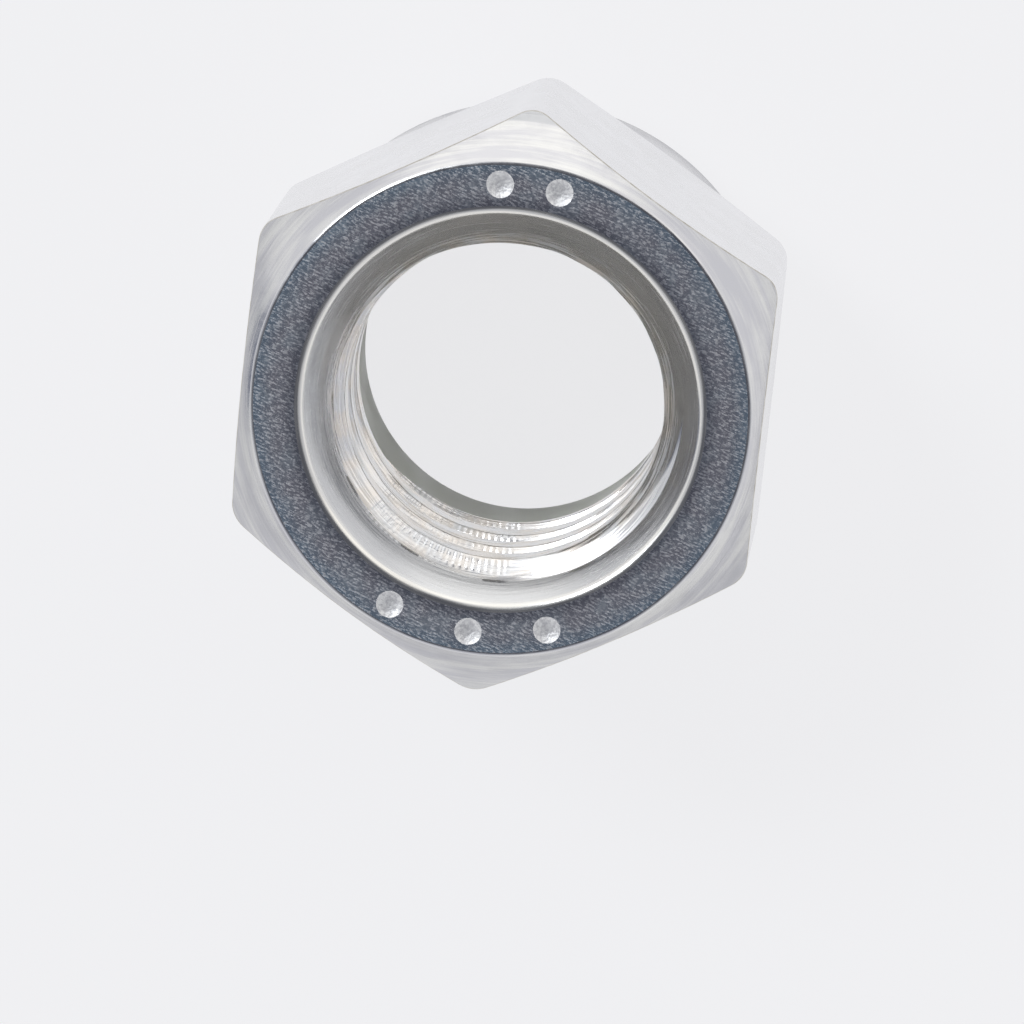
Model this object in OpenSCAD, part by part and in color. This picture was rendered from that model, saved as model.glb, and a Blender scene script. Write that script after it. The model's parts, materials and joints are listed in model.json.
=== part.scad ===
// Nylon insert lock nut: a hexagon nut whose round collar is rolled in over a nylon ring.
// The nut stands on its collar end with the bearing face up. Sizes are in millimetres.

/* [Hexagon] */
// Width across the flats
across_flats = 15.875; // [14.5:0.005:18]
// Overall height, from the collar end to the bearing face
nut_height = 11.9; // [10:0.1:16]
// Radius that rounds the six corner edges
corner_radius = 0.84; // [0.3:0.02:1.5]

/* [Bearing face] */
// Diameter of the flat bearing ring
bearing_diameter = 15.2; // [14.2:0.05:15.8]
// Angle of the turned chamfer below the bearing ring, from the face
chamfer_angle = 44; // [15:1:50]

/* [Countersink] */
// Diameter where the countersink meets the bearing face
countersink_diameter = 12.54; // [11.6:0.02:13.4]
// Radius that rounds the countersink's edge
countersink_edge_radius = 0.35; // [0.1:0.05:0.6]
// Half angle of the outer cone
outer_cone_angle = 44; // [35:1:55]
// Depth at which the outer cone gives way to the inner cone
outer_cone_depth = 0.59; // [0.3:0.01:0.8]
// Half angle of the inner cone, which runs into the thread
inner_cone_angle = 36; // [25:1:45]

/* [Thread] */
// Minor diameter of the thread, which is the bore through the steel
thread_minor_diameter = 9.8; // [8.8:0.05:10.8]
// Major diameter of the thread, at the bottom of its groove
thread_major_diameter = 11.1; // [11:0.05:12.2]
// Rise of the thread in one turn
thread_pitch = 1.814; // [1.45:0.002:2.4]
// Angle of the groove's sides, from square to the axis
thread_flank_angle = 30; // [20:1:35]

/* [Nylon insert] */
// How much wider the insert's bore is than the thread's minor diameter
insert_bore_allowance = 0.36; // [0.32:0.02:0.8]
// Wall of the insert, from its bore to its outside
insert_wall = 1.52; // [1:0.02:2.2]
// Height of the insert, from its exposed face to its seat
insert_height = 4.4; // [3.6:0.05:5.2]
// Height of the insert's straight bore below its seat
insert_bore_height = 3.1; // [1.2:0.1:3.6]
// Distance from the collar end up to the insert's exposed face
insert_recess = 0.4; // [0.1:0.05:0.8]
// Gap between the insert and the collar's wall and lip
insert_clearance = 0.03; // [0.01:0.01:0.1]
// Width of the exposed face around the mouth of the insert
insert_rim = 0.15; // [0.05:0.05:0.6]

/* [Collar] */
// Outer diameter of the round collar
collar_diameter = 15.7; // [14.6:0.05:16.4]
// Height of the collar's straight outer wall above the collar end
collar_height = 2.65; // [2:0.05:3.4]
// Height of the blend from the collar out to the flats
neck_height = 0.38; // [0.1:0.02:0.8]
// Angle of the shoulder under the corners, from the face
shoulder_angle = 29; // [15:1:45]
// Radius of the collar's rolled outer edge
collar_edge_radius = 1; // [0.4:0.05:1.5]

/* [Rolled lip] */
// How far the lip reaches in from the collar's inner wall, over the insert
lip_overlap = 0.73; // [0.4:0.01:1.2]
// Thickness of the lip over the insert
lip_thickness = 0.85; // [0.45:0.05:1.4]
// Radius that rounds the lip's inner edge
lip_edge_radius = 0.35; // [0.1:0.05:0.8]

/* [Hidden] */

$fn = 96;
arc_steps = 8;              // straight steps that follow each small turned radius
groove_steps = 40;          // straight steps that follow one turn of the thread
outside = 5;                // how far cutting shapes reach past the nut
groove_overlap = 0.15;      // how far the groove's cutting shape reaches in past the crests
steel = [0.80, 0.80, 0.80];
nylon = [0.86, 0.88, 0.82];

thread_radius = thread_minor_diameter / 2;
insert_bore_radius = thread_radius + insert_bore_allowance / 2;
insert_radius = insert_bore_radius + insert_wall;
seat_radius = insert_radius + insert_clearance;            // inside of the collar
seat_z = insert_recess + insert_height;                    // steel face the insert is pressed against
lip_radius = seat_radius - lip_overlap;
collar_radius = collar_diameter / 2;                       // what is left outside the seat is the wall

flat_radius = across_flats / 2;
corner_centre = (flat_radius - corner_radius) / cos(30);   // centre of each corner's rounding
corner_reach = corner_centre + corner_radius;              // axis to the rounded corner edge
bearing_radius = bearing_diameter / 2;
shoulder_z = collar_height + neck_height;                  // where the flats begin
blank_radius = corner_reach + 1;                           // clear of every corner

countersink_radius = countersink_diameter / 2;
outer_turn = 90 - outer_cone_angle;                        // angle the edge radius turns through
cone_start_radius = countersink_radius - countersink_edge_radius * sin(outer_turn);
cone_start_depth = countersink_edge_radius * (1 - cos(outer_turn));
cone_break_radius = cone_start_radius - (outer_cone_depth - cone_start_depth) * tan(outer_cone_angle);
thread_start_depth = outer_cone_depth + (cone_break_radius - thread_radius) / tan(inner_cone_angle);

groove_root = thread_major_diameter / 2;
groove_root_width = thread_pitch / 8;
groove_mouth = thread_radius - groove_overlap;
groove_mouth_width = groove_root_width + 2 * (groove_root - groove_mouth) * tan(thread_flank_angle);

insert_nose_radius = lip_radius - insert_clearance;        // part of the insert inside the lip
insert_mouth_radius = insert_nose_radius - insert_rim;
insert_ledge_z = lip_thickness + insert_clearance;         // where the insert rests behind the lip
insert_flare_z = seat_z - insert_bore_height;              // end of the straight bore

// Points along an arc about [x, y], from one angle to another
function arc(x, y, radius, from, to) = [
    for (i = [0 : arc_steps])
        let (a = from + (to - from) * i / arc_steps)
            [x + radius * cos(a), y + radius * sin(a)]
];

// Hexagon with true round corners: a twelve-sided core and one circle per corner
module rounded_hexagon() {
    tangent = [corner_centre + corner_radius * cos(30), corner_radius * sin(30)];
    half_turn = atan2(tangent[1], tangent[0]);
    polygon([
        for (corner = [0 : 5], side = [-1, 1])
            let (a = corner * 60 + side * half_turn)
                norm(tangent) * [cos(a), sin(a)]
    ]);
    for (corner = [0 : 5])
        rotate(corner * 60) translate([corner_centre, 0]) circle(r = corner_radius);
}

// Turned outline that trims the hexagon: shoulder cone below, chamfer above
module hexagon_envelope() {
    shoulder_top = shoulder_z + (blank_radius - flat_radius) * tan(shoulder_angle);
    chamfer_base = nut_height - (blank_radius - bearing_radius) * tan(chamfer_angle);
    rotate_extrude() polygon([
        [0, collar_height],
        [collar_radius, collar_height],
        [flat_radius, shoulder_z],
        [blank_radius, shoulder_top],
        [blank_radius, chamfer_base],
        [bearing_radius, nut_height],
        [0, nut_height]
    ]);
}

module hexagon() {
    intersection() {
        translate([0, 0, collar_height])
            linear_extrude(nut_height - collar_height) rounded_hexagon();
        hexagon_envelope();
    }
}

// Round collar with its rolled outer edge, solid at this stage
module collar() {
    rotate_extrude() polygon(concat(
        [[0, 0]],
        arc(collar_radius - collar_edge_radius, collar_edge_radius, collar_edge_radius, -90, 0),
        [[collar_radius, collar_height], [0, collar_height]]
    ));
}

// Everything that is cut out along the axis: countersink, thread bore, insert seat, lip opening
module axial_cuts() {
    rotate_extrude() polygon(concat(
        [[0, nut_height + outside], [countersink_radius, nut_height + outside]],
        arc(countersink_radius, nut_height - countersink_edge_radius, countersink_edge_radius,
            90, 90 + outer_turn),
        [
            [cone_break_radius, nut_height - outer_cone_depth],
            [thread_radius, nut_height - thread_start_depth],
            [thread_radius, seat_z],
            [seat_radius, seat_z],
            [seat_radius, lip_thickness],
            [lip_radius, lip_thickness]
        ],
        arc(lip_radius + lip_edge_radius, lip_edge_radius, lip_edge_radius, 180, 270),
        [[lip_radius + lip_edge_radius, -outside], [0, -outside]]
    ));
}

// Right-hand helical groove, from below the insert's seat to above the countersink's cones
module thread_groove() {
    section = [
        [groove_mouth, -groove_mouth_width / 2],
        [groove_root, -groove_root_width / 2],
        [groove_root, groove_root_width / 2],
        [groove_mouth, groove_mouth_width / 2]
    ];
    sides = len(section);
    start_z = (floor(seat_z / thread_pitch) - 0.5) * thread_pitch;
    last = groove_steps * ceil((nut_height - start_z) / thread_pitch);
    points = [
        for (i = [0 : last], corner = section)
            let (a = 360 * i / groove_steps)
                [corner[0] * cos(a), corner[0] * sin(a), start_z + thread_pitch * a / 360 + corner[1]]
    ];
    walls = [
        for (i = [0 : last - 1], k = [0 : sides - 1])
            let (here = i * sides, next = (i + 1) * sides, up = (k + 1) % sides)
                each [[here + k, here + up, next + k], [here + up, next + up, next + k]]
    ];
    caps = [[for (k = [sides - 1 : -1 : 0]) k], [for (k = [0 : sides - 1]) last * sides + k]];
    polyhedron(points, concat(walls, caps));
}

module nut_body() {
    color(steel) difference() {
        union() {
            hexagon();
            collar();
        }
        axial_cuts();
        thread_groove();
    }
}

module nylon_insert() {
    color(nylon) rotate_extrude() polygon([
        [insert_bore_radius, seat_z],
        [insert_radius, seat_z],
        [insert_radius, insert_ledge_z],
        [insert_nose_radius, insert_ledge_z],
        [insert_nose_radius, insert_recess],
        [insert_mouth_radius, insert_recess],
        [insert_bore_radius, insert_flare_z]
    ]);
}

nut_body();
nylon_insert();
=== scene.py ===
"""Nylon insert lock nut: the steel with its smooth thread, the nylon, their finishes and the studio."""
import json
import math

import bmesh
import bpy
from mathutils import Matrix, Vector


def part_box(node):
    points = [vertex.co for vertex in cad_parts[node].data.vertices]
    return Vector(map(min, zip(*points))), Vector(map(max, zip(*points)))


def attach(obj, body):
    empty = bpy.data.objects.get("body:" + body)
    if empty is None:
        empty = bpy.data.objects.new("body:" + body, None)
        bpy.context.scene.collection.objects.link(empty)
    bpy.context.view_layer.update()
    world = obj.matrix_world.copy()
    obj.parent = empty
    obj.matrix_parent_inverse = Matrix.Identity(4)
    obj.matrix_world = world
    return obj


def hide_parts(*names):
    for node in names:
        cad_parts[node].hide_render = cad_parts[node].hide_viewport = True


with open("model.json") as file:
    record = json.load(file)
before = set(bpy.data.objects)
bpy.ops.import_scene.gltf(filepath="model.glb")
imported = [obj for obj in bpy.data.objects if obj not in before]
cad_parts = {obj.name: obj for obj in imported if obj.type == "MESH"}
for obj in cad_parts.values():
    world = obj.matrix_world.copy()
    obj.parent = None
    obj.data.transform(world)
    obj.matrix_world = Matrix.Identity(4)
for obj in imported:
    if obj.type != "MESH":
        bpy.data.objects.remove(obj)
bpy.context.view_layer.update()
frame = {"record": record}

# ---------------------------------------------------------------- sizes, in millimetres and degrees
# Down to INSERT_LEDGE_Z they are part.scad's, read from the frame where it holds them. Only the two cone
# angles aren't: part.scad has 44 and 36, and the angles here give the reflections that the photo shows.
MM = 0.001

NUT_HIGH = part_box("nut_body")[1]
INSERT_LOW, INSERT_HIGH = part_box("nylon_insert")
THREAD_MOUNT = next(m for m in frame["record"]["mounts"] if m["name"] == "thread")

NUT_HEIGHT = NUT_HIGH[2] / MM
FLAT_RADIUS = NUT_HIGH[1] / MM
CORNER_ROUND = 0.84
CORNER_CENTRE = (FLAT_RADIUS - CORNER_ROUND) / math.cos(math.radians(30))
CORNER_TANGENT = (CORNER_CENTRE + CORNER_ROUND * math.cos(math.radians(30)), CORNER_ROUND / 2)
CORNER_HALF_TURN = math.degrees(math.atan2(CORNER_TANGENT[1], CORNER_TANGENT[0]))

BEARING_RADIUS = 7.6
CHAMFER_ANGLE = 44

COUNTERSINK_RADIUS = 6.27
COUNTERSINK_ROUND = 0.35
OUTER_CONE_ANGLE = 41.5
OUTER_CONE_DEPTH = 0.59
INNER_CONE_ANGLE = 40

THREAD_CREST = THREAD_MOUNT["dims"]["r_mm"]
THREAD_ROOT = 5.55
THREAD_PITCH = 1.814
THREAD_ROOT_FLAT = THREAD_PITCH / 8
THREAD_FLANK_ANGLE = 30

COLLAR_RADIUS = 7.85
COLLAR_HEIGHT = 2.65
COLLAR_ROUND = 1.0
NECK_HEIGHT = 0.38
SHOULDER_ANGLE = 29

LIP_RADIUS = 5.9
LIP_THICKNESS = 0.85
LIP_ROUND = 0.35
SEAT_RADIUS = 6.63

INSERT_RADIUS = INSERT_HIGH[0] / MM
INSERT_TOP = INSERT_HIGH[2] / MM
INSERT_BOTTOM = INSERT_LOW[2] / MM
INSERT_BORE = 5.08
INSERT_FLARE_Z = 1.7
INSERT_NOSE = 5.87
INSERT_MOUTH = 5.72
INSERT_LEDGE_Z = 0.88

EDGE_ROUND = 0.09          # tool-broken edges of the steel
FACE_ROUND = 0.2           # softer edge between the bearing face and its chamfer
CREST_ROUND = 0.05
ROOT_ROUND = 0.09
INSERT_BORE_ROUND = 0.12
INSERT_FLARE_ROUND = 0.4
INSERT_MOUTH_ROUND = 0.08
INSERT_EDGE_ROUND = 0.06
DOT_RADIUS = 0.42          # plain punched dots on the bearing face
DOT_DEPTH = 0.11
DOT_CIRCLE = 6.93
DOT_AZIMUTHS = [-9, 6, 157, 178, 198]
PUNCH_MARGIN = 1.1         # the cutting shape is this much wider than the dot
PUNCH_TOP = 0.2            # and ends this high above the face

MERGE = 0.001              # points closer than this are one
SHARP_ANGLE = 30           # faces that meet at more than this keep a hard edge
NO_ROOM = 1e-6             # a corner with less room than this isn't rounded
SIDE_SHARE = 0.45          # share of a side that one rounding may take
FILLET_ROWS = 4            # rows of faces across each rounded edge
ARC_ROWS = 8               # rows of faces across each arc of the turned outline
ROLLED_ROWS = 12           # and across the collar's rolled edge
CORNER_COLUMNS = 8         # columns of faces round each corner of the hexagon
FLAT_COLUMNS = 50
THREAD_STEP = 0.1          # longest step along the thread's outline
INSERT_STEP = 0.5          # and along the insert's
INSERT_COLUMNS = 192
DOT_COLUMNS = 36


def tan(angle):
    return math.tan(math.radians(angle))


# ---------------------------------------------------------------- outlines, as (radius, height)
def arc(x, y, radius, start, end, steps=ARC_ROWS):
    """Points along an arc, angles in degrees."""
    angles = [math.radians(start + (end - start) * k / steps) for k in range(steps + 1)]
    return [(x + radius * math.cos(a), y + radius * math.sin(a)) for a in angles]


def rounded_corner(before, corner, after, radius):
    """Points that round one corner of an outline; the rounding shrinks where its sides are short."""
    before, corner, after = Vector(before), Vector(corner), Vector(after)
    side_in, side_out = before - corner, after - corner
    room = SIDE_SHARE * min(side_in.length, side_out.length)
    if room < NO_ROOM:
        return [tuple(corner)] * (FILLET_ROWS + 1)
    half = side_in.angle(side_out) / 2
    reach = min(radius / math.tan(half), room)
    start = corner + side_in.normalized() * reach
    end = corner + side_out.normalized() * reach
    inward = (side_in.normalized() + side_out.normalized()).normalized()
    centre = corner + inward * (reach / math.cos(half))
    spoke = start - centre
    turn = spoke.angle_signed(end - centre)
    points = []
    for k in range(FILLET_ROWS + 1):
        a = -turn * k / FILLET_ROWS
        points.append((centre.x + spoke.x * math.cos(a) - spoke.y * math.sin(a),
                       centre.y + spoke.x * math.sin(a) + spoke.y * math.cos(a)))
    return points


def subdivided(points, longest):
    """The same outline with extra points, so that no step is longer than given."""
    path = [points[0]]
    for start, end in zip(points, points[1:]):
        steps = max(1, math.ceil(math.dist(start, end) / longest))
        path += [tuple(Vector(start).lerp(Vector(end), k / steps)) for k in range(1, steps + 1)]
    return path


# ---------------------------------------------------------------- steel body
SHOULDER_Z = COLLAR_HEIGHT + NECK_HEIGHT
OUTER_TURN = 90 - OUTER_CONE_ANGLE
CONE_START_RADIUS = COUNTERSINK_RADIUS - COUNTERSINK_ROUND * math.sin(math.radians(OUTER_TURN))
CONE_START_DEPTH = COUNTERSINK_ROUND * (1 - math.cos(math.radians(OUTER_TURN)))
CONE_BREAK_RADIUS = CONE_START_RADIUS - (OUTER_CONE_DEPTH - CONE_START_DEPTH) * tan(OUTER_CONE_ANGLE)
CONE_BREAK_Z = NUT_HEIGHT - OUTER_CONE_DEPTH

FINISHES = ["bearing_face", "chamfer", "edge", "flats", "collar", "bore"]


def hexagon_radius(azimuth):
    """Distance from the axis to the hexagon, with its round corners, at an azimuth in degrees."""
    from_corner = abs((azimuth + 30) % 60 - 30)
    if from_corner >= CORNER_HALF_TURN:
        return FLAT_RADIUS / math.cos(math.radians(30 - from_corner))
    a = math.radians(from_corner)
    return CORNER_CENTRE * math.cos(a) + math.sqrt(CORNER_ROUND ** 2 - (CORNER_CENTRE * math.sin(a)) ** 2)


def column_azimuths():
    """Azimuths of the mesh's columns: fine round each corner, about a degree apart on the flats."""
    corner = [CORNER_HALF_TURN * (2 * k / CORNER_COLUMNS - 1) for k in range(CORNER_COLUMNS)]
    flat = [CORNER_HALF_TURN + (60 - 2 * CORNER_HALF_TURN) * k / FLAT_COLUMNS for k in range(FLAT_COLUMNS)]
    return [60 * side + a for side in range(6) for a in corner + flat]


def steel_outline(azimuth):
    """Points (radius, height, finish of the strip that follows), from the cone break round to the seat."""
    reach = hexagon_radius(azimuth)
    chamfer_z = NUT_HEIGHT - (reach - BEARING_RADIUS) * tan(CHAMFER_ANGLE)
    shoulder_top = SHOULDER_Z + (reach - FLAT_RADIUS) * tan(SHOULDER_ANGLE)
    inner_edge = arc(COUNTERSINK_RADIUS, NUT_HEIGHT - COUNTERSINK_ROUND, COUNTERSINK_ROUND,
                     90 + OUTER_TURN, 90)
    rolled_edge = arc(COLLAR_RADIUS - COLLAR_ROUND, COLLAR_ROUND, COLLAR_ROUND, 0, -90, ROLLED_ROWS)
    lip_edge = arc(LIP_RADIUS + LIP_ROUND, LIP_ROUND, LIP_ROUND, 270, 180)
    # each corner with its radius, the finish of its rounding and the finish of the strip after it
    turned = [
        (inner_edge[-1], 0, "bearing_face", "bearing_face"),
        ((BEARING_RADIUS, NUT_HEIGHT), FACE_ROUND, "chamfer", "chamfer"),
        ((reach, chamfer_z), EDGE_ROUND, "edge", "flats"),
        ((reach, shoulder_top), EDGE_ROUND, "edge", "collar"),
        ((FLAT_RADIUS, SHOULDER_Z), EDGE_ROUND, "collar", "collar"),
        ((COLLAR_RADIUS, COLLAR_HEIGHT), EDGE_ROUND, "collar", "collar"),
        (rolled_edge[0], 0, "collar", "collar"),
    ]
    path = [(CONE_BREAK_RADIUS, CONE_BREAK_Z, "bore")]
    path += [(*point, "bore") for point in inner_edge[:-1]]
    path += [(*turned[0][0], "bearing_face")]
    for before, here, after in zip(turned, turned[1:], turned[2:]):
        rounding = rounded_corner(before[0], here[0], after[0], here[1])
        path += [(*point, here[2]) for point in rounding[:-1]] + [(*rounding[-1], here[3])]
    path += [(*point, "collar") for point in rolled_edge + lip_edge]
    path += [(LIP_RADIUS, LIP_THICKNESS, "collar"), (SEAT_RADIUS, LIP_THICKNESS, "collar")]
    return path + [(SEAT_RADIUS, INSERT_TOP, "collar")]


def thread_form():
    """One pitch of the thread as (height, radius), from the middle of one crest to that of the next."""
    flank = (THREAD_ROOT - THREAD_CREST) * tan(THREAD_FLANK_ANGLE)
    half_crest = (THREAD_PITCH - THREAD_ROOT_FLAT) / 2 - flank
    corners = [
        ((0, THREAD_CREST), 0),
        ((half_crest, THREAD_CREST), CREST_ROUND),
        ((half_crest + flank, THREAD_ROOT), ROOT_ROUND),
        ((THREAD_PITCH - half_crest - flank, THREAD_ROOT), ROOT_ROUND),
        ((THREAD_PITCH - half_crest, THREAD_CREST), CREST_ROUND),
        ((THREAD_PITCH, THREAD_CREST), 0),
    ]
    path = [corners[0][0]]
    for before, here, after in zip(corners, corners[1:], corners[2:]):
        path += rounded_corner(before[0], here[0], after[0], here[1])
    return subdivided(path + [corners[-1][0]], THREAD_STEP)


def wall_radius(form, height, azimuth):
    """Radius of the threaded wall, where the inner cone has cut the crests away."""
    along = (height - THREAD_PITCH * azimuth / 360) % THREAD_PITCH
    radius = THREAD_CREST
    for (low, low_radius), (high, high_radius) in zip(form, form[1:]):
        if low <= along <= high:
            radius = low_radius + (high_radius - low_radius) * (along - low) / (high - low)
            break
    cone = CONE_BREAK_RADIUS - (CONE_BREAK_Z - height) * tan(INNER_CONE_ANGLE)
    return max(min(radius, CONE_BREAK_RADIUS), cone)


def thread_rows(form):
    """Heights of the helical rows at azimuth 0, from a turn below the seat to above the cone break."""
    first = math.floor(INSERT_TOP / THREAD_PITCH) - 1
    turns = math.ceil(CONE_BREAK_Z / THREAD_PITCH) - first
    rows = [THREAD_PITCH * (first + turn) + along for turn in range(turns) for along, _ in form[:-1]]
    return rows + [THREAD_PITCH * (first + turns)]


def mesh_from_columns(columns, finishes):
    """A bmesh joined from columns of (x, y, z) points in mm, with one finish for each row of faces.

    Points that coincide become one.
    """
    height = len(columns[0])
    points = [Vector(point) * MM for column in columns for point in column]
    faces = [
        (i * height + k, (i + 1) * height + k, (i + 1) * height + k + 1, i * height + k + 1)
        for i in range(len(columns) - 1) for k in range(height - 1)
    ]
    mesh = bpy.data.meshes.new("columns")
    mesh.from_pydata(points, [], faces)
    mesh.polygons.foreach_set("material_index", finishes * (len(columns) - 1))
    bm = bmesh.new()
    bm.from_mesh(mesh)
    bpy.data.meshes.remove(mesh)
    bmesh.ops.remove_doubles(bm, verts=bm.verts, dist=MERGE * MM)
    bmesh.ops.dissolve_degenerate(bm, edges=bm.edges, dist=MERGE * MM)
    bmesh.ops.recalc_face_normals(bm, faces=bm.faces)
    return bm


def piece_from(bm, name):
    """A smooth-shaded object made from a bmesh, with its hard edges marked."""
    mesh = bpy.data.meshes.new(name)
    bm.to_mesh(mesh)
    bm.free()
    mesh.shade_smooth()
    mesh.set_sharp_from_angle(angle=math.radians(SHARP_ANGLE))
    piece = bpy.data.objects.new(name, mesh)
    bpy.context.scene.collection.objects.link(piece)
    return piece


def around(azimuth, radius, height):
    """The point at an azimuth in degrees, a radius and a height."""
    return (radius * math.cos(math.radians(azimuth)), radius * math.sin(math.radians(azimuth)), height)


def steel_body():
    """The nut body as one closed mesh: each column is the turned outline and then the thread's rows."""
    form = thread_form()
    rows = thread_rows(form)
    azimuths = column_azimuths()
    columns = []
    # the last column repeats the first one turn on, where the rows have climbed by exactly one pitch
    for azimuth in azimuths + [azimuths[0] + 360]:
        outline = steel_outline(azimuth)
        column = [around(azimuth, radius, height) for radius, height, _ in outline]
        for row in rows:
            height = min(max(row + THREAD_PITCH * azimuth / 360, INSERT_TOP), CONE_BREAK_Z)
            column.append(around(azimuth, wall_radius(form, height, azimuth), height))
        columns.append(column)
    finishes = [FINISHES.index(finish) for _, _, finish in outline]
    return mesh_from_columns(columns, finishes + [FINISHES.index("bore")] * (len(rows) - 1))


def dot_cutter(azimuth):
    """A round-nosed punch, which leaves a shallow hollow dot in the bearing face."""
    ball = (DOT_RADIUS ** 2 + DOT_DEPTH ** 2) / (2 * DOT_DEPTH)
    reach = math.degrees(math.asin(DOT_RADIUS / ball))
    profile = arc(0, ball - DOT_DEPTH, ball, -90, reach * PUNCH_MARGIN - 90)
    profile += [(DOT_RADIUS * PUNCH_MARGIN, PUNCH_TOP), (0, PUNCH_TOP)]
    azimuths = [360 * k / DOT_COLUMNS for k in range(DOT_COLUMNS + 1)]
    columns = [[around(a, radius, height) for radius, height in profile] for a in azimuths]
    bm = mesh_from_columns(columns, [0] * (len(profile) - 1))
    bmesh.ops.translate(bm, verts=bm.verts, vec=Vector(around(azimuth, DOT_CIRCLE, NUT_HEIGHT)) * MM)
    return piece_from(bm, "dot_cutter")


def punch_dots(body, finish):
    """Cuts the plain dots into the bearing face and gives their walls the punched finish."""
    for azimuth in DOT_AZIMUTHS:
        cutter = dot_cutter(azimuth)
        cutter.data.materials.append(finish)
        cut = body.modifiers.new("dot", "BOOLEAN")
        cut.operation = "DIFFERENCE"
        cut.solver = "EXACT"
        cut.material_mode = "TRANSFER"
        cut.object = cutter
        bpy.context.view_layer.objects.active = body
        bpy.ops.object.modifier_apply(modifier=cut.name)
        bpy.data.objects.remove(cutter)


# ---------------------------------------------------------------- nylon insert
def nylon_ring():
    """The insert as one revolve, its edges rounded as moulded nylon is."""
    corners = [
        ((INSERT_BORE, INSERT_TOP), INSERT_BORE_ROUND),
        ((INSERT_BORE, INSERT_FLARE_Z), INSERT_FLARE_ROUND),
        ((INSERT_MOUTH, INSERT_BOTTOM), INSERT_MOUTH_ROUND),
        ((INSERT_NOSE, INSERT_BOTTOM), INSERT_EDGE_ROUND),
        ((INSERT_NOSE, INSERT_LEDGE_Z), 0),
        ((INSERT_RADIUS, INSERT_LEDGE_Z), INSERT_EDGE_ROUND),
        ((INSERT_RADIUS, INSERT_TOP), INSERT_EDGE_ROUND),
    ]
    outline = []
    for before, here, after in zip(corners[-1:] + corners, corners, corners[1:] + corners[:1]):
        outline += rounded_corner(before[0], here[0], after[0], here[1]) if here[1] else [here[0]]
    outline = subdivided(outline + outline[:1], INSERT_STEP)
    azimuths = [360 * k / INSERT_COLUMNS for k in range(INSERT_COLUMNS + 1)]
    columns = [[around(a, radius, height) for radius, height in outline] for a in azimuths]
    return mesh_from_columns(columns, [0] * (len(outline) - 1))


# ---------------------------------------------------------------- node helpers
MIX_INPUTS = (0, 6, 7)     # sockets of a colour Mix node: factor and the two colours
MIX_RESULT = 2
SOFT = (0.3, 0.7)          # spans of a noise's values that are stretched to full contrast
FIRM = (0.35, 0.65)
HEIGHT_SHARE = 0.4         # how much of the height counts in the place of a turned ring


class Nodes:
    """Short calls for building one node tree."""

    def __init__(self, tree):
        self.tree = tree
        tree.nodes.clear()

    def feed(self, socket, value):
        """Links another node's output to a socket, or sets the socket to a plain value."""
        if isinstance(value, bpy.types.NodeSocket):
            self.tree.links.new(value, socket)
        else:
            socket.default_value = value

    def add(self, kind, inputs=None, **settings):
        node = self.tree.nodes.new(kind)
        for name, value in settings.items():
            setattr(node, name, value)
        for name, value in (inputs or {}).items():
            self.feed(node.inputs[name], value)
        return node

    def math(self, operation, first, second=0.0, clamp=False):
        inputs = {0: first, 1: second}
        return self.add("ShaderNodeMath", inputs, operation=operation, use_clamp=clamp).outputs[0]

    def total(self, first, second, clamp=False):
        return self.math("ADD", first, second, clamp)

    def product(self, first, *others):
        for other in others:
            first = self.math("MULTIPLY", first, other)
        return first

    def vector(self, operation, first, second=(0, 0, 0)):
        inputs = {0: first, 1: second}
        return self.add("ShaderNodeVectorMath", inputs, operation=operation).outputs["Vector"]

    def scaled(self, vector, scale):
        inputs = {0: vector, "Scale": scale}
        return self.add("ShaderNodeVectorMath", inputs, operation="SCALE").outputs["Vector"]

    def length(self, vector):
        return self.add("ShaderNodeVectorMath", {0: vector}, operation="LENGTH").outputs["Value"]

    def dot(self, first, second):
        inputs = {0: first, 1: second}
        return self.add("ShaderNodeVectorMath", inputs, operation="DOT_PRODUCT").outputs["Value"]

    def ramp(self, value, span, results=(0.0, 1.0)):
        """Takes a value across a span smoothly from the first result to the second."""
        inputs = {
            "Value": value, "From Min": span[0], "From Max": span[1],
            "To Min": results[0], "To Max": results[1],
        }
        return self.add("ShaderNodeMapRange", inputs, interpolation_type="SMOOTHSTEP").outputs["Result"]

    def mix(self, factor, first, second):
        """A colour between two others."""
        node = self.add("ShaderNodeMix", data_type="RGBA")
        for place, value in zip(MIX_INPUTS, (factor, first, second)):
            self.feed(node.inputs[place], value)
        return node.outputs[MIX_RESULT]

    def noise(self, vector, scale=1.0, detail=2.0):
        inputs = {"Vector": vector, "Scale": scale, "Detail": detail}
        return self.add("ShaderNodeTexNoise", inputs).outputs["Fac"]

    def place_in_mm(self):
        """The shaded point in the object's own axes."""
        return self.scaled(self.add("ShaderNodeTexCoord").outputs["Object"], 1 / MM)

    def bump(self, height, depth):
        """A normal tilted by a height from 0 to 1, which stands for a depth in millimetres."""
        return self.add("ShaderNodeBump", {"Height": height, "Distance": depth * MM}).outputs["Normal"]


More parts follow.
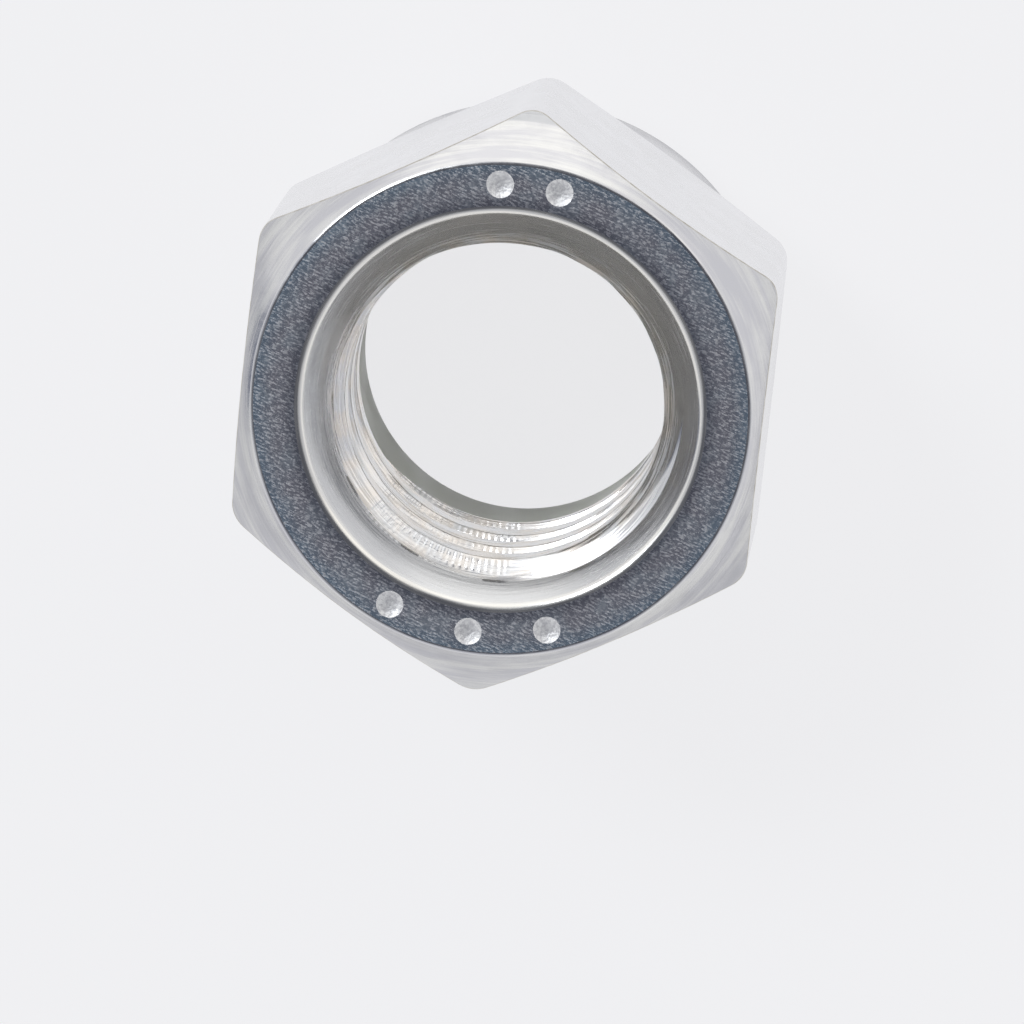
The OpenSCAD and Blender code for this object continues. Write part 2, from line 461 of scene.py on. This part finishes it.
class SteelNodes(Nodes):
    """Coordinates round the nut's axis in millimetres, and the marks that its machining leaves."""

    def __init__(self, tree):
        super().__init__(tree)
        self.place = self.place_in_mm()
        x, y, self.z = self.add("ShaderNodeSeparateXYZ", {0: self.place}).outputs
        level = self.vector("MULTIPLY", self.place, (1, 1, 0))
        self.spoke = self.vector("NORMALIZE", level)
        self.radius = self.length(level)
        self.azimuth = self.math("ARCTAN2", y, x)  # in radians

    def turned_marks(self, around_scale, across_scale, detail=3.0):
        """Fine rings left by turning: long round the axis, narrow along the outline.

        The height counts less than the radius, because their plain sum hardly changes down the chamfer.
        """
        down = self.product(self.z, HEIGHT_SHARE)
        across = self.product(self.total(self.radius, down), across_scale)
        ring = self.scaled(self.spoke, around_scale)
        place = self.vector("ADD", ring, self.add("ShaderNodeCombineXYZ", {"Z": across}).outputs[0])
        return self.noise(place, detail=detail)

    def facing(self, azimuth):
        """Cosine of the angle round the axis between the surface point and an azimuth."""
        return self.dot(self.spoke, around(azimuth, 1, 0))

    def rotated(self, azimuth):
        """Coordinates in millimetres whose first axis points to an azimuth."""
        first, second = (self.dot(self.place, around(azimuth + turn, 1, 0)) for turn in (0, 90))
        return self.add("ShaderNodeCombineXYZ", {"X": first, "Y": second}).outputs[0]

    def metal(self, color, roughness, normal, metallic=1.0):
        """Ends the tree with the metal surface."""
        shader = self.add("ShaderNodeBsdfPrincipled", {
            "Base Color": color, "Metallic": metallic, "Roughness": roughness, "Normal": normal,
        })
        self.add("ShaderNodeOutputMaterial", {"Surface": shader.outputs[0]})


def new_material(name, kind=SteelNodes):
    """An empty material, and the short calls that build its nodes."""
    made = bpy.data.materials.new(name)
    made.use_nodes = True
    return made, kind(made.node_tree)


# ---------------------------------------------------------------- finishes
GRAIN_AZIMUTH = 251        # direction that the face's scratches run in
SCRATCHES = (5.5, 19.0, 1.0)  # marks per millimetre along that direction, across it and down
FACE_VIOLET = (0.84, 0.83, 0.88, 1)
FACE_PALE_BLUE = (0.78, 0.84, 0.90, 1)
FACE_RIM_BLUE = (0.60, 0.77, 0.90, 1)
RIM_BLUE_RADIUS = 6.9      # the face turns bluer from here out
FACE_FLECK = (0.95, 0.95, 0.96, 1)
FACE_SHADE = (0.2, 0.21, 0.27, 1)
FACE_SHADE_RADIUS = 6.75   # how far out the face is darkened from the countersink's edge

CHAMFER_DARK = (0.64, 0.64, 0.67, 1)
CHAMFER_LIGHT = (0.79, 0.79, 0.78, 1)
STEEL_DARK = (0.55, 0.56, 0.58, 1)
TIP_RADIUS = 8.70          # where the chamfer gives way to the painted shade on each corner's tip
TIP_BLEND = 0.06
SHADED_TIP_CORNER = 0         # azimuth of the corner whose tip has the darkest painted shade
TIP_SHADE_SPAN = (0.8, 0.95)    # cosines of the angle from it, where its painted shade sets in and is full

EDGE_DARK = (0.52, 0.49, 0.43, 1)
EDGE_LIGHT = (0.72, 0.70, 0.66, 1)

FLAT_COOL = (0.84, 0.84, 0.865, 1)
FLAT_WARM = (0.85, 0.85, 0.85, 1)
DRAWN_LINES = (9.0, 9.0, 0.5)

COLLAR_DARK = (0.74, 0.74, 0.77, 1)
COLLAR_LIGHT = (0.79, 0.79, 0.80, 1)
# painted shade in the neck, where the collar meets the hexagon's shoulder
NECK_SHADE_COLOR = (0.3, 0.31, 0.35, 1)
NECK_SHADE = 0.09          # how far the painted shade in the neck spreads up and down

CONE_GREY = (0.74, 0.745, 0.755, 1)
# painted highlight on the countersink's rounded edge; the widths are how far in from the edge it ends and is
# full
CONE_RIM_HIGHLIGHT = (0.90, 0.885, 0.84, 1)
CONE_RIM_WIDTHS = (0.32, 0.2)
THREAD_WARM = (0.92, 0.87, 0.81, 1)
THREAD_COOL = (0.87, 0.875, 0.88, 1)
THREAD_DEPTHS = (1.3, 0.7)  # below the face: the thread's finish is full, and the cones' begins
VALLEY_SHADE = (0.4, 0.38, 0.35, 1)
VALLEY_DEPTH = 0.3         # how far in from its root the groove has painted shade

RIB_AZIMUTH = 161          # middle of the chattered part of the thread
RIB_SPREAD = 25            # degrees to either side
RIB_FADE = (0.03, 0.02)    # in cosines, outside and inside that spread
RIB_WIDTHS = (0.35, 0.2)   # inside the cone break: ribs are full, and ribs end
RIBS_PER_TURN = 160

DOT_GREY = (0.70, 0.70, 0.71, 1)
DOT_WHITE = (0.95, 0.95, 0.94, 1)

NYLON_DEEP = (0.72, 0.76, 0.64, 1)
NYLON_PALE = (0.82, 0.85, 0.74, 1)


def bearing_face_steel():
    """The ground face: dark, with fine bright scratches that run one way."""
    made, nodes = new_material("bearing_face_steel")
    scratches = nodes.noise(nodes.vector("MULTIPLY", nodes.rotated(GRAIN_AZIMUTH), SCRATCHES))
    pits = nodes.noise(nodes.place, scale=17.0)
    broad = nodes.noise(nodes.place, scale=1.1)
    flecks = nodes.ramp(nodes.total(scratches, nodes.product(pits, 0.45)), (0.62, 1.0))
    tint = nodes.mix(nodes.ramp(broad, FIRM), FACE_VIOLET, FACE_PALE_BLUE)
    tint = nodes.mix(nodes.ramp(nodes.radius, (RIM_BLUE_RADIUS, BEARING_RADIUS)), tint, FACE_RIM_BLUE)
    color = nodes.mix(flecks, tint, FACE_FLECK)
    shade = nodes.ramp(nodes.radius, (COUNTERSINK_RADIUS, FACE_SHADE_RADIUS), (0.6, 0.0))
    color = nodes.mix(shade, color, FACE_SHADE)
    worn = nodes.ramp(broad, SOFT, (0.0, 0.04))
    roughness = nodes.total(nodes.ramp(flecks, (0.0, 1.0), (0.24, 0.42)), worn)
    nodes.metal(color, roughness, nodes.bump(flecks, depth=0.005))
    return made


def chamfer_steel():
    """The turned chamfer: fine rings with a soft sheen, and painted shade on the corners' tips, darkest on
    one corner.
    """
    made, nodes = new_material("chamfer_steel")
    rings = nodes.turned_marks(around_scale=4.0, across_scale=22.0)
    broad = nodes.turned_marks(around_scale=2.2, across_scale=5.0)
    cloud = nodes.noise(nodes.place, scale=2.2, detail=3.0)
    streaks = nodes.ramp(nodes.total(nodes.product(rings, 0.5), broad), (0.6, 0.95))
    turned = nodes.mix(streaks, CHAMFER_DARK, CHAMFER_LIGHT)
    # painted shade: a painted dark reflection on the corners' tips, strongest on the corner at the top of
    # the picture
    dull = nodes.ramp(nodes.facing(SHADED_TIP_CORNER), TIP_SHADE_SPAN, (0.2, 0.9))
    tip = nodes.product(nodes.ramp(nodes.radius, (TIP_RADIUS, TIP_RADIUS + TIP_BLEND)), dull)
    color = nodes.mix(tip, turned, STEEL_DARK)
    roughness = nodes.ramp(nodes.total(cloud, broad), (0.8, 1.2), (0.13, 0.26))
    height = nodes.total(rings, nodes.product(cloud, 1.2))
    nodes.metal(color, roughness, nodes.bump(height, depth=0.004))
    return made


def edge_steel():
    """The narrow broken edges round the flats: a little dull and warm."""
    made, nodes = new_material("edge_steel")
    worn = nodes.noise(nodes.place, scale=3.0, detail=3.0)
    color = nodes.mix(nodes.ramp(worn, SOFT), EDGE_DARK, EDGE_LIGHT)
    nodes.metal(color, 0.3, nodes.bump(worn, depth=0.004))
    return made


def flat_steel():
    """The drawn flats: nearly smooth, with faint lines along the height."""
    made, nodes = new_material("flat_steel")
    lines = nodes.noise(nodes.vector("MULTIPLY", nodes.place, DRAWN_LINES), detail=3.0)
    cloud = nodes.noise(nodes.place, scale=0.9, detail=3.0)
    color = nodes.mix(cloud, FLAT_COOL, FLAT_WARM)
    roughness = nodes.ramp(cloud, SOFT, (0.2, 0.3))
    nodes.metal(color, roughness, nodes.bump(lines, depth=0.0002))
    return made


def collar_steel():
    """The turned and rolled collar: smooth, with faint rings and painted shade along its neck."""
    made, nodes = new_material("collar_steel")
    rings = nodes.turned_marks(around_scale=4.0, across_scale=10.0)
    cloud = nodes.noise(nodes.place, scale=1.4, detail=3.0)
    neck = nodes.math("ABSOLUTE", nodes.math("SUBTRACT", nodes.z, COLLAR_HEIGHT))
    color = nodes.mix(nodes.ramp(cloud, SOFT), COLLAR_DARK, COLLAR_LIGHT)
    # painted shade in the neck, where the collar meets the hexagon's shoulder
    color = nodes.mix(nodes.ramp(neck, (0.0, NECK_SHADE), (0.75, 0.0)), color, NECK_SHADE_COLOR)
    roughness = nodes.ramp(cloud, SOFT, (0.22, 0.32))
    nodes.metal(color, roughness, nodes.bump(rings, depth=0.0025))
    return made


def chatter_ribs(nodes):
    """Height of the short ribs across the thread, on the side where the cutting tool chattered."""
    ribs = nodes.math("SINE", nodes.product(nodes.azimuth, RIBS_PER_TURN))
    edge = math.cos(math.radians(RIB_SPREAD))
    chattered = nodes.ramp(nodes.facing(RIB_AZIMUTH), (edge - RIB_FADE[0], edge + RIB_FADE[1]))
    inner, outer = (CONE_BREAK_RADIUS - width for width in RIB_WIDTHS)
    threaded = nodes.ramp(nodes.radius, (inner, outer), (1.0, 0.0))
    uneven = nodes.ramp(nodes.noise(nodes.place, scale=2.5), (0.35, 0.6), (0.3, 1.0))
    return nodes.product(ribs, uneven, nodes.product(chattered, threaded))


def bore_steel():
    """The countersink and thread: cut steel with fine rings, torn in places in the thread, with a painted
    highlight on the countersink's rounded edge and painted shade deep in the grooves.
    """
    made, nodes = new_material("bore_steel")
    rings = nodes.turned_marks(around_scale=3.0, across_scale=14.0)
    waves = nodes.turned_marks(around_scale=1.6, across_scale=2.5, detail=1.0)
    cloud = nodes.noise(nodes.place, scale=1.3)
    low, high = (NUT_HEIGHT - depth for depth in THREAD_DEPTHS)
    deep = nodes.ramp(nodes.z, (low, high), (1.0, 0.0))

    rim_start, rim_end = (COUNTERSINK_RADIUS - width for width in CONE_RIM_WIDTHS)
    # painted highlight on the countersink's rounded edge
    cone = nodes.mix(nodes.ramp(nodes.radius, (rim_start, rim_end)), CONE_GREY, CONE_RIM_HIGHLIGHT)
    thread = nodes.mix(nodes.ramp(cloud, FIRM), THREAD_WARM, THREAD_COOL)
    # painted shade deep in the thread's grooves
    valley = nodes.product(nodes.ramp(nodes.radius, (THREAD_ROOT - VALLEY_DEPTH, THREAD_ROOT)), 0.6)
    thread = nodes.mix(valley, thread, VALLEY_SHADE)
    color = nodes.mix(deep, cone, thread)
    color = nodes.mix(nodes.ramp(rings, (0.3, 0.6), (0.35, 0.0)), color, STEEL_DARK)

    torn = nodes.product(deep, nodes.ramp(rings, (0.46, 0.58), (0.0, 0.24)))
    roughness = nodes.total(nodes.ramp(rings, SOFT, (0.17, 0.28)), torn)
    cut = nodes.product(nodes.total(rings, nodes.product(waves, 3.0)), nodes.ramp(deep, (0, 1), (0.2, 1.25)))
    height = nodes.total(cut, nodes.product(chatter_ribs(nodes), 1.3))
    nodes.metal(color, roughness, nodes.bump(height, depth=0.008))
    return made


def punched_steel():
    """The dots: frosted by the punch, so lighter than the face."""
    made, nodes = new_material("punched_steel")
    frost = nodes.noise(nodes.place, scale=9.0, detail=3.0)
    color = nodes.mix(nodes.ramp(frost, FIRM), DOT_GREY, DOT_WHITE)
    nodes.metal(color, 0.5, nodes.bump(frost, depth=0.025), metallic=0.7)
    return made


def nylon():
    """Natural nylon: greenish white, slightly cloudy, and clear enough for light to pass."""
    made, nodes = new_material("nylon", Nodes)
    place = nodes.place_in_mm()
    cloud = nodes.noise(place, scale=0.9, detail=3.0)
    fine = nodes.noise(place, scale=9.0)
    shader = nodes.add("ShaderNodeBsdfPrincipled", {
        "Base Color": nodes.mix(cloud, NYLON_DEEP, NYLON_PALE),
        "Roughness": nodes.ramp(cloud, SOFT, (0.3, 0.42)),
        "Normal": nodes.bump(fine, depth=0.006),
        "IOR": 1.53,
        "Transmission Weight": 0.25,
        "Subsurface Weight": 0.6,
        "Subsurface Radius": (0.9, 1.0, 0.8),
        "Subsurface Scale": 1.2 * MM,
    })
    nodes.add("ShaderNodeOutputMaterial", {"Surface": shader.outputs[0]})
    return made


# ---------------------------------------------------------------- studio
FLOOR_RADIUS = 3.0         # in metres
FLOOR_SEGMENTS = 96
FLOOR_WHITE = (0.89, 0.89, 0.905, 1)
FLOOR_GLOW = 0.785         # strength of the floor's own light
GLOW_COLOR = (1, 1, 1.02, 1)
FLOOR_PAPER = 0.122        # share of the room's light that it returns
# the mirrored glow, by the distance from the nut's axis in millimetres
FOOT_FADE_IN = (5.8, 6.4)
FOOT_FADE_OUT = (7.2, 8.8)
FOOT_SHADOW_GLOW = 0.4            # what is left of it in the painted shadow round the nut's foot
FAR_FADE = (12, 90)
FAR_SHADE_GLOW = 0.72            # and far away, in the painted shade there

# the room's colours by the height of a direction, 0 level and 1 straight up
ROOM = [
    (0.0, (0.86, 0.86, 0.87)),
    (0.35, (0.86, 0.86, 0.88)),
    (0.7, (0.5, 0.51, 0.55)),
    (0.86, (0.12, 0.125, 0.145)),
    (1.0, (0.09, 0.095, 0.115)),
]
# soft round patches of the room: azimuth and elevation of the middle, angles from it at which the
# patch begins and is full, and its colour; a bright side, a high bright window and a dark door
PATCHES = [
    (6, 12, 42, 9, (1.25, 1.24, 1.22, 1)),
    (318, 37, 27, 8, (1.1, 1.08, 1.06, 1)),
    (98, 3, 19, 8, (0.22, 0.24, 0.3, 1)),
]


def toward(azimuth, elevation):
    """The unit vector that points to an azimuth and an elevation in degrees."""
    elevation = math.radians(elevation)
    return around(azimuth, math.cos(elevation), math.sin(elevation))


def studio_world():
    """A pale room: brightest behind the top of the picture, dark overhead where the camera hangs."""
    world = bpy.data.worlds.new("studio")
    world.use_nodes = True
    bpy.context.scene.world = world
    nodes = Nodes(world.node_tree)
    direction = nodes.add("ShaderNodeTexCoord").outputs["Generated"]
    up = nodes.add("ShaderNodeSeparateXYZ", {0: direction}).outputs["Z"]
    room = nodes.add("ShaderNodeValToRGB", {"Fac": up})
    stops = room.color_ramp
    stops.interpolation = "EASE"
    stops.elements[0].position, stops.elements[1].position = 0.0, 1.0
    while len(stops.elements) < len(ROOM):
        stops.elements.new(0.5)
    for element, (height, color) in zip(stops.elements, ROOM):
        element.position = height
        element.color = (*color, 1)

    lit = room.outputs["Color"]
    for azimuth, elevation, begin, full, color in PATCHES:
        facing = nodes.dot(direction, toward(azimuth, elevation))
        inside = nodes.ramp(facing, [math.cos(math.radians(angle)) for angle in (begin, full)])
        lit = nodes.mix(inside, lit, color)
    seen = nodes.add("ShaderNodeLightPath").outputs["Is Camera Ray"]
    background = nodes.add("ShaderNodeBackground", {"Color": nodes.mix(seen, lit, FLOOR_WHITE)})
    nodes.add("ShaderNodeOutputWorld", {"Surface": background.outputs[0]})


def floor_material():
    """Pale paper: lit by the room, and topped up to white where it is seen or mirrored.

    Mirrored paper carries a painted shadow close round the nut's foot and painted shade far away, which
    gives the bright steel its form.
    """
    made, nodes = new_material("pale_floor", Nodes)
    paper = nodes.add("ShaderNodeBsdfDiffuse", {"Color": (FLOOR_PAPER, FLOOR_PAPER, FLOOR_PAPER, 1)})
    away = nodes.length(nodes.place_in_mm())
    # painted shadow in a ring round the nut's foot, and painted shade far away, in the mirrored glow only
    foot = nodes.product(nodes.ramp(away, FOOT_FADE_IN), nodes.ramp(away, FOOT_FADE_OUT, (1.0, 0.0)))
    near = nodes.ramp(foot, (0, 1), (1.0, FOOT_SHADOW_GLOW))
    mirrored = nodes.product(near, nodes.ramp(away, FAR_FADE, (1.0, FAR_SHADE_GLOW)))
    rays = nodes.add("ShaderNodeLightPath").outputs
    seen = nodes.total(rays["Is Camera Ray"], nodes.product(rays["Is Glossy Ray"], mirrored))
    seen = nodes.total(seen, rays["Is Transmission Ray"], clamp=True)
    glow = nodes.add("ShaderNodeEmission", {
        "Color": GLOW_COLOR, "Strength": nodes.product(seen, FLOOR_GLOW),
    })
    both = nodes.add("ShaderNodeAddShader", {0: paper.outputs[0], 1: glow.outputs[0]})
    nodes.add("ShaderNodeOutputMaterial", {"Surface": both.outputs[0]})
    return made


def floor():
    mesh = bpy.data.meshes.new("floor")
    bm = bmesh.new()
    bmesh.ops.create_circle(bm, cap_ends=True, segments=FLOOR_SEGMENTS, radius=FLOOR_RADIUS)
    bm.to_mesh(mesh)
    bm.free()
    mesh.materials.append(floor_material())
    piece = bpy.data.objects.new("floor", mesh)
    bpy.context.scene.collection.objects.link(piece)


def softbox(name, azimuth, elevation, distance, size, power, color):
    """A square lamp that faces the nut; the angles are in degrees, the lengths in metres."""
    lamp = bpy.data.lights.new(name, "AREA")
    lamp.shape = "SQUARE"
    lamp.size = size
    lamp.energy = power
    lamp.color = color
    stand = bpy.data.objects.new(name, lamp)
    stand.location = Vector(toward(azimuth, elevation)) * distance
    stand.rotation_euler = stand.location.to_track_quat("Z", "Y").to_euler()
    bpy.context.scene.collection.objects.link(stand)


# ---------------------------------------------------------------- camera
CAMERA_AIM = (-3.07, -0.70, NUT_HEIGHT)
CAMERA_DISTANCE = 227.7
CAMERA_NEAREST = 10        # nothing closer to it is drawn
CAMERA_AZIMUTH = -14.84
CAMERA_ELEVATION = 77.64
PICTURE_UP_AZIMUTH = 6.1
PICTURE_ANGLE = 7.81


def camera():
    """Looks down on the bearing face, with the corner near azimuth 0 at the top of the picture."""
    data = bpy.data.cameras.new("camera")
    data.sensor_fit = "HORIZONTAL"
    data.angle = math.radians(PICTURE_ANGLE)
    data.clip_start = CAMERA_NEAREST * MM
    place = bpy.data.objects.new("camera", data)
    back = Vector(toward(CAMERA_AZIMUTH, CAMERA_ELEVATION))
    right = Vector(around(PICTURE_UP_AZIMUTH, 1, 0)).cross(back).normalized()
    turn = Matrix((right, back.cross(right), back)).transposed()
    stand = (Vector(CAMERA_AIM) + back * CAMERA_DISTANCE) * MM
    place.matrix_world = Matrix.Translation(stand) @ turn.to_4x4()
    bpy.context.scene.collection.objects.link(place)
    bpy.context.scene.camera = place


# ---------------------------------------------------------------- scene
body = piece_from(steel_body(), "steel_nut_body")
punched = punched_steel()
# in the order of FINISHES, and the dots' own last
for finish in (bearing_face_steel(), chamfer_steel(), edge_steel(), flat_steel(), collar_steel(),
               bore_steel(), punched):
    body.data.materials.append(finish)
punch_dots(body, punched)
body.data.set_sharp_from_angle(angle=math.radians(SHARP_ANGLE))
weighted = body.modifiers.new("even_normals", "WEIGHTED_NORMAL")
weighted.keep_sharp = True
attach(body, "root")
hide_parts("nut_body")

insert = piece_from(nylon_ring(), "nylon_ring")
insert.data.materials.append(nylon())
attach(insert, "root")
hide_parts("nylon_insert")

studio_world()
floor()
softbox("window", azimuth=50, elevation=45, distance=1.2, size=0.36, power=4.5, color=(0.93, 0.96, 1.0))
camera()
bpy.context.scene.view_settings.view_transform = "Standard"
